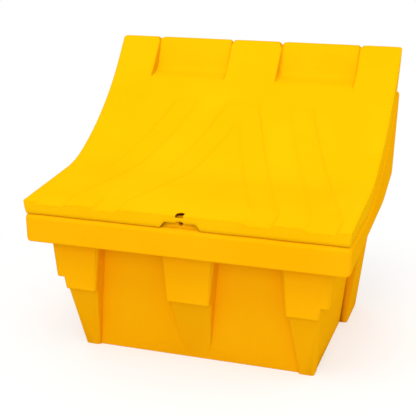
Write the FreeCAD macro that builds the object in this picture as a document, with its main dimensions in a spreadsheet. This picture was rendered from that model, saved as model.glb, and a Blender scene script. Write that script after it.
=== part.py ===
import FreeCAD, Part
import math
import os

import Sketcher

# Grit salt bin: a moulded tub, a moulded lid, the steel rod that hinges them and its two push-on caps.
# The origin is on the ground in the middle of the overall depth. X runs across, Y to the back, Z up.
# Sizes called "behind" are counted from the front face of the collar.

os.makedirs("parts", exist_ok=True)
doc = FreeCAD.newDocument("GritSaltBin")
sheet = doc.addObject("Spreadsheet::Sheet", "Sizes")
Vector = FreeCAD.Vector

# Driving dimensions, in millimetres and degrees
DIMENSIONS = {
    "rim_width": 1006,  # across the collar
    "depth": 858,  # front of the collar to the back plane at the hinge
    "rim_height": 484,  # level front part of the rim
    "hinge_rise": 407,  # the rises are counted from the level part of the rim
    "wall": 5,
    "floor": 6,
    "back_lean": 0.2,  # the back plane comes forward by this much for each millimetre down
    "collar_drop": 90,
    "collar_bend_behind": 600,
    "collar_bend_rise": 39,
    "collar_back_rise": 91,
    "collar_edge_round": 14,
    "collar_top_round": 18,
    "collar_bottom_round": 4,
    "collar_bend_round": 200,
    "collar_back_round": 25,
    "collar_hollow_chamfer": 6,
    "rim_bend_behind": 304,  # where the side rim starts to rise
    "rim_low_angle": 13,
    "rim_low_run": 318,
    "rim_high_angle": 48,
    "rim_low_round": 280,
    "rim_high_round": 860,
    "shoulder_rise": 284,
    "shoulder_round": 15,
    "ledge_width": 25,
    "ledge_front": 28,
    "upstand_height": 18,
    "upstand_set_in": 2.5,  # the back of the upstand ends inside the back wall
    "return_depth": 28,
    "body_low_half": 383,
    "body_high_half": 436,
    "body_low_front": 152,
    "body_high_front": 99,
    "body_low_back": 654,
    "body_high_back": 707,
    "body_round": 30,
    "lug_front": 62,
    "lug_ledge": 222,
    "lug_into_collar": 36,
    "lug_round": 9,
    "lug_edge_round": 6,
    "lug_root_front": 160,
    "lug_centre_low_half": 69,
    "lug_centre_high_half": 92,
    "lug_corner_low_inner": 306,
    "lug_corner_high_inner": 283,
    "lug_corner_low_outer": 408,
    "lug_corner_high_outer": 444,
    "side_lug_ledge": 261,
    "side_lug_low_outer": 437,
    "side_lug_high_outer": 453,
    "side_lug_root": 360,
    "side_lug_low_end": 213,
    "side_lug_high_end": 221,
    "foot_centre_low_half": 43,
    "foot_centre_high_half": 70,
    "foot_centre_low_front": 155,
    "foot_high_front": 81,
    "foot_corner_low_inner": 335,
    "foot_corner_high_inner": 302,
    "foot_corner_low_outer": 385,
    "foot_corner_high_outer": 417,
    "foot_corner_low_front": 142,
    "foot_corner_high_front": 69,
    "foot_corner_low_end": 190,
    "foot_corner_high_end": 211,
    "foot_overlap": 40,  # how far the middle foot reaches back into the body
    "foot_joint": 10,  # how far a foot reaches up into its lug
    "post_back": 742,
    "post_centre_low_half": 43,
    "post_centre_high_half": 92,
    "post_corner_low_inner": 335,
    "post_corner_high_inner": 283,
    "post_corner_low_outer": 409,
    "post_corner_high_outer": 462,
    "post_low_start": 566,
    "post_high_start": 543,
    "hinge_behind": 838,
    "knuckle_round": 20,
    "rod_diameter": 12,
    "rod_clearance": 0.05,  # all round the rod
    "rod_half": 485,
    "rod_chamfer": 1,
    "middle_half": 85,  # tub knuckle in the middle
    "knuckle_gap": 7,
    "pocket_half_end": 361,
    "outer_knuckle_end": 478,
    "merlon_gap": 23,  # from the rod's axis down to the wall where the lid's knuckles turn
    "merlon_margin": 2,  # between a knuckle of the tub and the gap in the wall
    "merlon_round": 8,
    "cap_diameter": 24,
    "cap_gap": 1,
    "cap_length": 8,
    "cap_crown": 3,
    "lid_overhang": -1.5,
    "lid_gap": 1.5,
    "lid_front_height": 42.2,
    "lid_low_angle": 4.8,
    "lid_low_run": 363.8,
    "lid_mid_angle": 25,
    "lid_mid_run": 290.6,
    "lid_high_angle": 50.5,
    "lid_low_round": 360,
    "lid_high_round": 960,
    "crest_rise": 429,
    "crest_behind": 824,
    "flange_end_behind": 765,
    "flange_knee_behind": 778,
    "flange_knee_rise": 299,
    "flange_knee_round": 80,
    "lip_round": 9,
    "lid_edge_round": 8,
    "pocket_ledge_behind": 713,
    "pocket_ledge_rise": 303,
    "pocket_foot_behind": 786,
    "pocket_foot_rise": 309,
    "pocket_head_behind": 807,
    "pocket_head_rise": 396,
    "pocket_foot_round": 14,
    "pocket_head_round": 6,
    "crest_round": 3,
    "crest_notch_half": 8,
    "crest_notch_depth": 16,
    "crest_nick_half": 6,
    "crest_nick_depth": 7,
    "channel_depth": 5,
    "channel_top_behind": 644,
    "channel_low_behind": 85,
    "channel_bend_behind": 349,
    "channel_run_out": 20,  # how far the channels are drawn past the lip
    "channel_low_round": 100,
    "channel_bend_round": 200,
    "channel_end_round": 12.5,
    "band_low_outer": 460,
    "band_bend_outer": 369,
    "band_high_outer": 243,
    "band_low_inner": 369,
    "band_bend_inner": 284,
    "band_high_inner": 163,
    "arrow_low_outer": 273,
    "arrow_bend_outer": 176,
    "arrow_high_outer": 57,
    "arrow_low_inner": 195,
    "arrow_bend_inner_behind": 237,
    "arrow_bend_inner": 133,
    "arrow_point_behind": 590,
    "notch_low_half": 64,
    "notch_high_half": 46,
    "notch_height": 17,
    "notch_round": 7,
    "arch_half": 12,
    "arch_height": 22,
    "arch_round": 11,
    "lock_hole_half": 11.5,
    "lock_hole_reach": 20,
    "lock_hole_drop": 5.5,
    "lock_hole_round": 10.5,
    "tongue_half": 45,
    "tongue_height": 29,
    "tongue_thickness": 9,
    "tongue_round": 9,
    "tongue_overlap": 1,  # how far the tongue runs into the upstand
    "tongue_hole": 14,
    "tongue_hole_height": 14,
}


class Size:
    """A value together with the sheet formula that gives it."""

    def __init__(self, value, formula):
        self.value = float(value)
        self.formula = formula

    def __add__(self, other):
        other = as_size(other)
        return Size(self.value + other.value, f"({self.formula} + {other.formula})")

    def __sub__(self, other):
        other = as_size(other)
        return Size(self.value - other.value, f"({self.formula} - {other.formula})")

    def __mul__(self, other):
        other = as_size(other)
        return Size(self.value * other.value, f"({self.formula} * {other.formula})")

    def __truediv__(self, other):
        other = as_size(other)
        return Size(self.value / other.value, f"({self.formula} / {other.formula})")

    def __neg__(self):
        return Size(-self.value, f"(0 - {self.formula})")

    __radd__ = __add__
    __rmul__ = __mul__

    def __rsub__(self, other):
        return as_size(other) - self


def as_size(number):
    return number if isinstance(number, Size) else Size(number, repr(float(number)))


def sine(angle):
    return Size(math.sin(math.radians(angle.value)), f"sin({angle.formula})")


def cosine(angle):
    return Size(math.cos(math.radians(angle.value)), f"cos({angle.formula})")


class Sheet:
    """Gives each driving dimension under its own name."""

    def __getattr__(self, name):
        return Size(DIMENSIONS[name], f"Sizes.{name}")


for row, (alias, number) in enumerate(DIMENSIONS.items(), start=1):
    sheet.set(f"A{row}", alias)
    sheet.set(f"B{row}", str(number))
    sheet.setAlias(f"B{row}", alias)
doc.recompute()
at = Sheet()

hinge_height = at.rim_height + at.hinge_rise
shoulder_height = at.rim_height + at.shoulder_rise
crest_height = at.rim_height + at.crest_rise
collar_low = at.rim_height - at.collar_drop
collar_back = collar_low + at.collar_back_rise
lug_top = collar_low + at.lug_into_collar


def bind(thing, field, size):
    thing.setExpression(field, as_size(size).formula)


def y_of(behind):
    """The Y coordinate of a place counted from the front face of the collar."""
    return as_size(behind) - at.depth / 2


def back_at(height):
    """How far behind the front the back plane is at a height."""
    return at.depth - at.back_lean * (hinge_height - height)


# Sketches

TURNED = {
    "side": FreeCAD.Rotation(Vector(1, 1, 1), 120),  # across is Y, up is Z
    "front": FreeCAD.Rotation(Vector(1, 0, 0), 90),  # across is X, up is Z
    "plan": FreeCAD.Rotation(),  # across is X, up is Y
}
START, END, ORIGIN = 1, 2, -1
STRAIGHT_ENOUGH = 0.001
UPRIGHT_LENGTH = 100
LEAST_INNER_ROUND = 10  # a hollow's corners are only rounded from here up
SIDEWAYS = 0.5  # a face normal with more X than this looks sideways
LOOKS_UP = 0.1
LOOKS_OUT = 0.9


def moved_corners(points, insets):
    """Corners of a closed outline after each edge has moved to its left."""
    count = len(points)
    moved = []
    for i in range(count):
        before, corner, after = points[i - 1], points[i], points[(i + 1) % count]
        into = (corner - before).normalize()
        out = (after - corner).normalize()
        normal_in = Vector(-into.y, into.x, 0)
        normal_out = Vector(-out.y, out.x, 0)
        first, second = insets[i - 1], insets[i]
        sine_turn = into.x * out.y - into.y * out.x
        cosine_turn = into.dot(out)
        shift = normal_in * first + into * ((first * cosine_turn - second) / sine_turn)
        moved.append(corner + shift)
    return moved


def outline(name, plane, corners, inset=0, station=0):
    """A closed sketch through corners given as across, up and corner radius, anticlockwise.

    Each edge can be moved to its left by an inset, one for all or one for each edge.
    The corners are dimensioned on construction lines, and the edges stand off from those.
    """
    sketch = doc.addObject("Sketcher::SketchObject", name)
    sketch.Placement = FreeCAD.Placement(Vector(), TURNED[plane])
    axis = {"side": "x", "front": "y", "plan": "z"}[plane]
    bind(sketch, f".Placement.Base.{axis}", station)
    count = len(corners)
    insets = [as_size(part) for part in (inset if isinstance(inset, list) else [inset] * count)]
    points = [Vector(as_size(c[0]).value, as_size(c[1]).value, 0) for c in corners]
    moved = moved_corners(points, [part.value for part in insets])
    limits = []
    for i in range(count):
        sketch.addGeometry(Part.LineSegment(points[i], points[(i + 1) % count]), True)
    for i in range(count):
        sketch.addConstraint(Sketcher.Constraint("Coincident", i, END, (i + 1) % count, START))
        for kind, size in (("DistanceX", corners[i][0]), ("DistanceY", corners[i][1])):
            place = Sketcher.Constraint(kind, ORIGIN, START, i, START, as_size(size).value)
            limits.append((sketch.addConstraint(place), size))
    ends = []
    rounds = []
    for i in range(count):
        into = (moved[i] - moved[i - 1]).normalize()
        out = (moved[(i + 1) % count] - moved[i]).normalize()
        turn = math.atan2(into.x * out.y - into.y * out.x, into.dot(out))
        side = 1 if turn > 0 else -1
        radius = as_size(corners[i][2])
        if radius.value > 0:
            radius = radius - side * (insets[i - 1] + insets[i]) / 2
        if radius.value < 1:
            ends.append((moved[i], moved[i]))
            rounds.append(None)
            continue
        reach = radius.value * math.tan(abs(turn) / 2)
        first, last = moved[i] - into * reach, moved[i] + out * reach
        centre = first + Vector(-into.y, into.x, 0) * (side * radius.value)
        ends.append((first, last))
        rounds.append((radius, side, centre, first, last))
    for i in range(count):
        line = sketch.addGeometry(Part.LineSegment(ends[i][1], ends[(i + 1) % count][0]), False)
        if abs(insets[i].value) < STRAIGHT_ENOUGH:
            sketch.addConstraint(Sketcher.Constraint("PointOnObject", line, START, i))
            sketch.addConstraint(Sketcher.Constraint("PointOnObject", line, END, i))
        else:
            sketch.addConstraint(Sketcher.Constraint("Parallel", line, i))
            gap = Sketcher.Constraint("Distance", line, START, i, abs(insets[i].value))
            limits.append((sketch.addConstraint(gap), insets[i] if insets[i].value > 0 else -insets[i]))
    for i in range(count):
        line_in, line_out = count + (i - 1) % count, count + i
        if rounds[i] is None:
            sketch.addConstraint(Sketcher.Constraint("Coincident", line_in, END, line_out, START))
            continue
        radius, side, centre, first, last = rounds[i]
        begin, finish = (first, last) if side > 0 else (last, first)
        angles = [math.atan2(p.y - centre.y, p.x - centre.x) for p in (begin, finish)]
        circle = Part.Circle(centre, Vector(0, 0, 1), radius.value)
        arc = sketch.addGeometry(Part.ArcOfCircle(circle, angles[0], angles[1]), False)
        at_in, at_out = (START, END) if side > 0 else (END, START)
        sketch.addConstraint(Sketcher.Constraint("Tangent", line_in, END, arc, at_in))
        sketch.addConstraint(Sketcher.Constraint("Tangent", line_out, START, arc, at_out))
        limits.append((sketch.addConstraint(Sketcher.Constraint("Radius", arc, radius.value)), radius))
    for index, size in limits:
        bind(sketch, f"Constraints[{index}]", size)
    return sketch


# Solids

ALONG = {"side": Vector(1, 0, 0), "front": Vector(0, 1, 0), "plan": Vector(0, 0, 1)}


def extruded(name, plane, corners, forward, backward=0, inset=0, station=0):
    solid = doc.addObject("Part::Extrusion", name)
    solid.Base = outline(name + "Outline", plane, corners, inset, station)
    solid.DirMode = "Custom"
    solid.Dir = ALONG[plane]
    solid.Solid = True
    bind(solid, "LengthFwd", forward)
    bind(solid, "LengthRev", backward)
    return solid


def both_sides(name, corners, half, inset=0):
    """A side outline extruded to the same distance on both sides of the middle."""
    return extruded(name, "side", corners, half, half, inset)


def fused(name, *solids):
    result = doc.addObject("Part::MultiFuse", name)
    result.Shapes = list(solids)
    return result


def common(name, *solids):
    result = doc.addObject("Part::MultiCommon", name)
    result.Shapes = list(solids)
    return result


def cut(name, base, tool):
    result = doc.addObject("Part::Cut", name)
    result.Base = base
    result.Tool = tool
    return result


def mirrored(solid):
    result = doc.addObject("Part::Mirroring", solid.Name + "Left")
    result.Source = solid
    result.Normal = Vector(1, 0, 0)
    return result


def rounded(name, solid, radius, wanted, kind="Part::Fillet"):
    """The solid with a rounding on each edge that the test picks."""
    doc.recompute()
    picked = [i + 1 for i, edge in enumerate(solid.Shape.Edges) if wanted(edge)]
    result = doc.addObject(kind, name)
    result.Base = solid
    result.Edges = [(i, radius.value, radius.value) for i in picked]
    return result


def chamfered(name, solid, size, wanted):
    """The solid with a chamfer on each edge that the test picks."""
    return rounded(name, solid, size, wanted, "Part::Chamfer")


def cylinder(name, radius, length, x, y, z, turned):
    solid = doc.addObject("Part::Cylinder", name)
    solid.Placement = FreeCAD.Placement(Vector(), turned)
    bind(solid, "Radius", radius)
    bind(solid, "Height", length)
    for axis, place in (("x", x), ("y", y), ("z", z)):
        bind(solid, f".Placement.Base.{axis}", place)
    return solid


rim_half = at.rim_width / 2
ALONG_X = FreeCAD.Rotation(Vector(0, 1, 0), 90)
ALONG_Y = FreeCAD.Rotation(Vector(1, 0, 0), -90)


def bar_along_x(name, radius, start, end):
    """A round bar on the hinge axis."""
    return cylinder(name, radius, end - start, start, y_of(at.hinge_behind), hinge_height, ALONG_X)


def tapered(name, low, high, z_low, z_high, inset=None):
    """A mass that tapers both ways between two rectangles given as left, right, front and back.

    It is what a front outline drawn out along Y and a side outline drawn out along X have in common.
    An inset gives the hollow inside the mass, open at the top.
    """
    sides = 0 if inset is None else [inset, inset, 0, inset]
    across = [
        (low[0], z_low, 0),
        (low[1], z_low, 0),
        (high[1], z_high, 0),
        (high[0], z_high, 0),
    ]
    along = [
        (y_of(low[2]), z_low, 0),
        (y_of(low[3]), z_low, 0),
        (y_of(high[3]), z_high, 0),
        (y_of(high[2]), z_high, 0),
    ]
    front_view = extruded(name + "Across", "front", across, at.depth, 0, sides, y_of(0))
    side_view = extruded(name + "Along", "side", along, rim_half, rim_half, sides)
    return common(name, front_view, side_view)


def upright(edge):
    return edge.BoundBox.ZLength > UPRIGHT_LENGTH


def soft_bottom(solid, z_low, radius):
    """Rounds the edges of the underside."""

    def on_underside(edge):
        return abs(edge.BoundBox.ZMax - z_low.value) < STRAIGHT_ENOUGH

    return rounded(solid.Name + "Soft", solid, radius, on_underside)


# Tub: side outline of the collar with its rising rim, corner by corner round from the bottom front

rim_low = (at.rim_bend_behind, at.rim_height)
rim_mid = (
    rim_low[0] + at.rim_low_run * cosine(at.rim_low_angle),
    rim_low[1] + at.rim_low_run * sine(at.rim_low_angle),
)
rim_slope = sine(at.rim_high_angle) / cosine(at.rim_high_angle)
shoulder_behind = rim_mid[0] + (shoulder_height - rim_mid[1]) / rim_slope
collar_side = [
    (y_of(0), collar_low, at.collar_bottom_round),
    (y_of(at.collar_bend_behind), collar_low + at.collar_bend_rise, at.collar_bend_round),
    (y_of(back_at(collar_back)), collar_back, at.collar_back_round),
    (y_of(back_at(shoulder_height)), shoulder_height, at.shoulder_round),
    (y_of(shoulder_behind), shoulder_height, at.shoulder_round),
    (y_of(rim_mid[0]), rim_mid[1], at.rim_high_round),
    (y_of(rim_low[0]), rim_low[1], at.rim_low_round),
    (y_of(0), at.rim_height, at.collar_top_round),
]
inner_half = rim_half - at.ledge_width
UNDER = 60  # far enough inside the hollow


def rim_insets(bottom, back, top, front):
    """Insets of the eight edges of the collar's side outline."""
    return [bottom, bottom, back, top, top, top, top, front]


def front_or_top(normal):
    return normal.z > LOOKS_UP or normal.y < -LOOKS_OUT


def all_but_underside(normal):
    return front_or_top(normal) or normal.y > LOOKS_OUT


def side_face_edges(half, solid, looks):
    """Picks edges of the two side faces by which way the face on the other side of the edge looks."""

    def wanted(edge):
        box = edge.BoundBox
        if abs(abs(box.XMax) - half.value) > STRAIGHT_ENOUGH or box.XLength > STRAIGHT_ENOUGH:
            return False
        middle = edge.valueAt((edge.FirstParameter + edge.LastParameter) / 2)
        for face in solid.Shape.ancestorsOfType(edge, Part.Face):
            across, lengthways = face.Surface.parameter(middle)
            normal = face.normalAt(across, lengthways)
            if abs(normal.x) < SIDEWAYS and looks(normal):
                return True
        return False

    return wanted


collar = both_sides("Collar", collar_side, rim_half)
collar_edges = side_face_edges(rim_half, collar, all_but_underside)
collar = rounded("CollarRounded", collar, at.collar_edge_round, collar_edges)
collar_hollow = both_sides("CollarHollow", collar_side, rim_half - at.wall, at.wall)
collar_hollow = chamfered(
    "CollarHollowChamfered",
    collar_hollow,
    at.collar_hollow_chamfer,
    side_face_edges(rim_half - at.wall, collar_hollow, all_but_underside),
)
upstand = both_sides(
    "Upstand",
    collar_side,
    inner_half,
    rim_insets(UNDER, at.upstand_set_in, -at.upstand_height, at.ledge_front),
)
opening = both_sides(
    "Opening",
    collar_side,
    inner_half - at.wall,
    rim_insets(UNDER, at.wall, -at.upstand_height * 2, at.ledge_front + at.wall),
)

# Tub: the tall back wall above the shoulders, with the two short returns at its ends
upper_start = shoulder_height - UNDER
upper_side = [
    (y_of(back_at(upper_start) - at.return_depth), upper_start, 0),
    (y_of(back_at(upper_start)), upper_start, 0),
    (y_of(back_at(hinge_height)), hinge_height, 0),
    (y_of(back_at(hinge_height) - at.return_depth), hinge_height, 0),
]
upper_wall = both_sides("UpperWall", upper_side, inner_half)
upper_hollow = both_sides("UpperHollow", upper_side, inner_half - at.wall, [-UNDER, at.wall, -UNDER, -UNDER])

# Tub: tapered body, nesting lugs under the collar, the feet that run down from them and the posts at the back


def tub_masses(inset, ending):
    """The body, lugs, feet and posts as outer masses, or as the hollows inside them."""

    def mass(name, low, high, z_low, z_high, radius):
        solid = tapered(name + ending, low, high, z_low, z_high, inset)
        if inset is not None:
            radius = radius - inset
            if radius.value < LEAST_INNER_ROUND:
                return solid
        solid = rounded(solid.Name + "Round", solid, radius, upright)
        if inset is None and z_low.value > 0:
            solid = soft_bottom(solid, z_low, at.lug_edge_round)
        return solid

    ground = as_size(0)
    foot_top = at.side_lug_ledge + at.foot_joint
    middle = [
        mass(
            "Body",
            (-at.body_low_half, at.body_low_half, at.body_low_front, at.body_low_back),
            (-at.body_high_half, at.body_high_half, at.body_high_front, at.body_high_back),
            ground,
            at.rim_height,
            at.body_round,
        ),
        mass(
            "FrontLug",
            (-at.lug_centre_low_half, at.lug_centre_low_half, at.lug_front, at.lug_root_front),
            (-at.lug_centre_high_half, at.lug_centre_high_half, at.lug_front, at.lug_root_front),
            at.lug_ledge,
            lug_top,
            at.lug_round,
        ),
        mass(
            "FrontFoot",
            (
                -at.foot_centre_low_half,
                at.foot_centre_low_half,
                at.foot_centre_low_front,
                at.lug_root_front + at.foot_overlap,
            ),
            (
                -at.foot_centre_high_half,
                at.foot_centre_high_half,
                at.foot_high_front,
                at.lug_root_front + at.foot_overlap,
            ),
            ground,
            at.lug_ledge + at.foot_joint,
            at.lug_round,
        ),
        mass(
            "BackPost",
            (-at.post_centre_low_half, at.post_centre_low_half, at.post_low_start, at.post_back),
            (-at.post_centre_high_half, at.post_centre_high_half, at.post_high_start, at.post_back),
            ground,
            collar_back,
            at.lug_round,
        ),
    ]
    right = [
        mass(
            "FrontCornerLug",
            (at.lug_corner_low_inner, at.lug_corner_low_outer, at.lug_front, at.lug_root_front),
            (at.lug_corner_high_inner, at.lug_corner_high_outer, at.lug_front, at.lug_root_front),
            at.lug_ledge,
            lug_top,
            at.lug_round,
        ),
        mass(
            "SideFrontLug",
            (at.side_lug_root, at.side_lug_low_outer, at.lug_front, at.side_lug_low_end),
            (at.side_lug_root, at.side_lug_high_outer, at.lug_front, at.side_lug_high_end),
            at.side_lug_ledge,
            lug_top,
            at.lug_round,
        ),
        mass(
            "FrontCornerFoot",
            (
                at.foot_corner_low_inner,
                at.foot_corner_low_outer,
                at.foot_corner_low_front,
                at.foot_corner_low_end,
            ),
            (
                at.foot_corner_high_inner,
                at.foot_corner_high_outer,
                at.foot_corner_high_front,
                at.foot_corner_high_end,
            ),
            ground,
            foot_top,
            at.lug_round,
        ),
        mass(
            "BackCornerPost",
            (at.post_corner_low_inner, at.post_corner_low_outer, at.post_low_start, at.post_back),
            (at.post_corner_high_inner, at.post_corner_high_outer, at.post_high_start, at.post_back),
            ground,
            collar_back,
            at.lug_round,
        ),
    ]
    right_side = fused("RightMasses" + ending, *right)
    return fused("Masses" + ending, *middle, right_side, mirrored(right_side))


outer_masses = tub_masses(None, "Outer")
hollow_masses = tub_masses(at.wall, "Hollow")
floor_layer = doc.addObject("Part::Box", "FloorLayer")
bind(floor_layer, "Length", at.rim_width)
bind(floor_layer, "Width", at.depth)
bind(floor_layer, "Height", at.floor)
bind(floor_layer, ".Placement.Base.x", -rim_half)
bind(floor_layer, ".Placement.Base.y", y_of(0))
hollow_above_floor = cut("HollowAboveFloor", hollow_masses, floor_layer)

# Tub: the knuckles on the back wall, with gaps between them for those of the lid
tub_knuckles = [bar_along_x("MiddleKnuckle", at.knuckle_round, -at.middle_half, at.middle_half)]
outer_start = at.pocket_half_end + at.knuckle_gap
tub_knuckles.append(bar_along_x("RightKnuckle", at.knuckle_round, outer_start, at.outer_knuckle_end))
tub_knuckles.append(mirrored(tub_knuckles[1]))
merlon_top = hinge_height - at.merlon_gap
gap_start = at.middle_half + at.merlon_margin
gap_end = outer_start - at.merlon_margin
wall_gap = extruded(
    "WallGap",
    "front",
    [
        (gap_start, merlon_top, at.merlon_round),
        (gap_end, merlon_top, at.merlon_round),
        (gap_end, hinge_height + UNDER, 0),
        (gap_start, hinge_height + UNDER, 0),
    ],
    UNDER,
    UNDER,
    0,
    y_of(at.hinge_behind),
)

# Tub: the tongue behind the lip notch, with the eye for a padlock
tongue = extruded(
    "Tongue",
    "front",
    [
        (-at.tongue_half - at.tongue_round, at.rim_height - at.wall, 0),
        (at.tongue_half + at.tongue_round, at.rim_height - at.wall, 0),
        (at.tongue_half, at.rim_height + at.tongue_height, at.tongue_round),
        (-at.tongue_half, at.rim_height + at.tongue_height, at.tongue_round),
    ],
    at.tongue_thickness,
    0,
    0,
    y_of(at.ledge_front - at.tongue_overlap),
)
eye = cylinder(
    "Eye",
    at.tongue_hole / 2,
    UNDER,
    0,
    y_of(0),
    at.rim_height + at.tongue_hole_height,
    ALONG_Y,
)
bore = bar_along_x("Bore", at.rod_diameter / 2 + at.rod_clearance, -rim_half, rim_half)
tub_solid = fused("TubSolid", collar, upstand, upper_wall, outer_masses)
wall_gaps = fused("WallGaps", wall_gap, mirrored(wall_gap))
tub_hollows = fused("TubHollows", collar_hollow, opening, upper_hollow, hollow_above_floor, wall_gaps)
tub_shell = cut("TubShell", tub_solid, tub_hollows)
tub_fittings = fused("TubFittings", tub_shell, tongue, *tub_knuckles)
tub = cut("Tub", tub_fittings, fused("TubBores", bore, eye))
tub.Refine = False
tub.Label = "tub"

# Lid: side outline, corner by corner round from the bottom front
lid_low = (
    at.lid_low_run * cosine(at.lid_low_angle),
    at.rim_height + at.lid_front_height + at.lid_low_run * sine(at.lid_low_angle),
)
lid_mid = (
    lid_low[0] + at.lid_mid_run * cosine(at.lid_mid_angle),
    lid_low[1] + at.lid_mid_run * sine(at.lid_mid_angle),
)
lid_slope = sine(at.lid_high_angle) / cosine(at.lid_high_angle)
crest_front = lid_mid[0] + (crest_height - lid_mid[1]) / lid_slope
lid_side = [
    (y_of(0), at.rim_height, 0),
    (y_of(rim_low[0]), rim_low[1], at.rim_low_round),
    (y_of(rim_mid[0]), rim_mid[1], at.rim_high_round),
    (y_of(shoulder_behind), shoulder_height, 0),
    (y_of(at.crest_behind), crest_height, 0),
    (y_of(crest_front), crest_height, 0),
    (y_of(lid_mid[0]), lid_mid[1], at.lid_high_round),
    (y_of(lid_low[0]), lid_low[1], at.lid_low_round),
    (y_of(0), at.rim_height + at.lid_front_height, at.lip_round),
]
lid_half = rim_half + at.lid_overhang


def lid_insets(bottom, rear, top, front):
    """Insets of the nine edges of the lid's side outline."""
    return [bottom, bottom, bottom, rear, top, top, top, top, front]


lid_mass = both_sides("LidMass", lid_side, lid_half, lid_insets(at.lid_gap, 0, 0, 0))
lid_edges = side_face_edges(lid_half, lid_mass, front_or_top)
lid_mass = rounded("LidMassRounded", lid_mass, at.lid_edge_round, lid_edges)
lid_hollow = both_sides(
    "LidHollow",
    lid_side,
    lid_half - at.wall,
    lid_insets(-UNDER, -2 * UNDER, at.wall, at.wall),
)
rear_trim_side = [
    (y_of(at.flange_end_behind), at.rim_height, 0),
    (y_of(at.crest_behind + UNDER), at.rim_height, 0),
    (y_of(at.crest_behind + UNDER), crest_height, 0),
    (y_of(at.crest_behind), crest_height, 0),
    (y_of(at.flange_knee_behind), at.rim_height + at.flange_knee_rise, at.flange_knee_round),
]
rear_trim = both_sides("RearTrim", rear_trim_side, rim_half + UNDER)

# Lid: the two pockets at the crest, with the long knuckles behind them
pocket_start = at.middle_half + at.knuckle_gap
pocket_side = [
    (y_of(at.pocket_ledge_behind - UNDER), at.rim_height + at.pocket_ledge_rise - at.wall, 0),
    (y_of(at.pocket_ledge_behind), at.rim_height + at.pocket_ledge_rise, 0),
    (y_of(at.pocket_foot_behind), at.rim_height + at.pocket_foot_rise, at.pocket_foot_round),
    (y_of(at.pocket_head_behind), at.rim_height + at.pocket_head_rise, at.pocket_head_round),
    (y_of(at.crest_behind), crest_height, at.crest_round),
    (y_of(at.crest_behind + UNDER), crest_height, 0),
    (y_of(at.crest_behind + UNDER), crest_height + UNDER, 0),
    (y_of(at.pocket_ledge_behind - UNDER), crest_height + UNDER, 0),
]
pocket_skin_insets = [-at.wall, -at.wall, -at.wall, -at.wall, -at.wall, 0, 0, 0]


def pocket_solid(name, start, end, inset=0):
    return extruded(name, "side", pocket_side, end, -start, inset)


pocket = pocket_solid("Pocket", pocket_start, at.pocket_half_end)
pocket_skin = common(
    "PocketSkin",
    pocket_solid("PocketSkinBlock", pocket_start - at.wall, at.pocket_half_end + at.wall, pocket_skin_insets),
    lid_mass,
)
lid_knuckle = bar_along_x("LidKnuckle", at.knuckle_round, pocket_start, at.pocket_half_end)
knuckle_web_side = [
    (y_of(at.pocket_foot_behind), at.rim_height + at.pocket_foot_rise, 0),
    (y_of(at.hinge_behind), hinge_height - at.knuckle_round, 0),
    (y_of(at.hinge_behind), hinge_height + at.knuckle_round, 0),
    (y_of(at.crest_behind), crest_height, 0),
    (y_of(at.pocket_head_behind), at.rim_height + at.pocket_head_rise, 0),
]
knuckle_web = extruded("KnuckleWeb", "side", knuckle_web_side, at.pocket_half_end, -pocket_start)
right_hinge = fused("RightHinge", lid_knuckle, knuckle_web, pocket_skin)

# Lid: drainage channels, each sunk into the skin with the skin following it underneath
# They run out over the top edge of the lip and leave its front face whole
channel_end = -at.channel_run_out


def band_corners():
    low, bend, top = at.channel_low_behind, at.channel_bend_behind, at.channel_top_behind
    return [
        (at.band_low_inner, y_of(channel_end), 0),
        (at.band_low_outer, y_of(channel_end), 0),
        (at.band_low_outer, y_of(low), at.channel_low_round),
        (at.band_bend_outer, y_of(bend), at.channel_bend_round),
        (at.band_high_outer, y_of(top), at.channel_end_round),
        (at.band_high_inner, y_of(top), at.channel_end_round),
        (at.band_bend_inner, y_of(bend), at.channel_bend_round),
        (at.band_low_inner, y_of(low), at.channel_low_round),
    ]


def arrow_corners():
    low, top = at.channel_low_behind, at.channel_top_behind
    outer = [
        (at.arrow_low_inner, y_of(channel_end), 0),
        (at.arrow_low_outer, y_of(channel_end), 0),
        (at.arrow_low_outer, y_of(low), at.channel_low_round),
        (at.arrow_bend_outer, y_of(at.channel_bend_behind), at.channel_bend_round),
        (at.arrow_high_outer, y_of(top), at.channel_end_round),
    ]
    inner = [
        (at.arrow_low_inner, y_of(low), at.channel_low_round),
        (at.arrow_bend_inner, y_of(at.arrow_bend_inner_behind), at.channel_bend_round),
    ]
    left_outer = [(-x, y, r) for x, y, r in reversed(outer)]
    left_inner = [(-x, y, r) for x, y, r in inner]
    point = (0, y_of(at.arrow_point_behind), at.channel_end_round)
    return outer + left_outer + left_inner + [point] + list(reversed(inner))


band = extruded("Band", "plan", band_corners(), crest_height)
arrow = extruded("Arrow", "plan", arrow_corners(), crest_height)
band_under = extruded("BandUnder", "plan", band_corners(), crest_height, 0, -at.wall)
arrow_under = extruded("ArrowUnder", "plan", arrow_corners(), crest_height, 0, -at.wall)
channel_plan = fused("ChannelPlan", band, mirrored(band), arrow)
under_plan = fused("UnderPlan", band_under, mirrored(band_under), arrow_under)
skin_core = both_sides(
    "SkinCore",
    lid_side,
    lid_half,
    lid_insets(-UNDER, -UNDER, at.channel_depth, -at.channel_depth),
)
channels = cut("Channels", channel_plan, skin_core)
under_core = both_sides(
    "UnderCore",
    lid_side,
    lid_half,
    lid_insets(-UNDER, -UNDER, at.wall + at.channel_depth, at.wall),
)
under_skin = common("UnderSkin", cut("UnderBand", under_plan, under_core), lid_mass)

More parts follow.
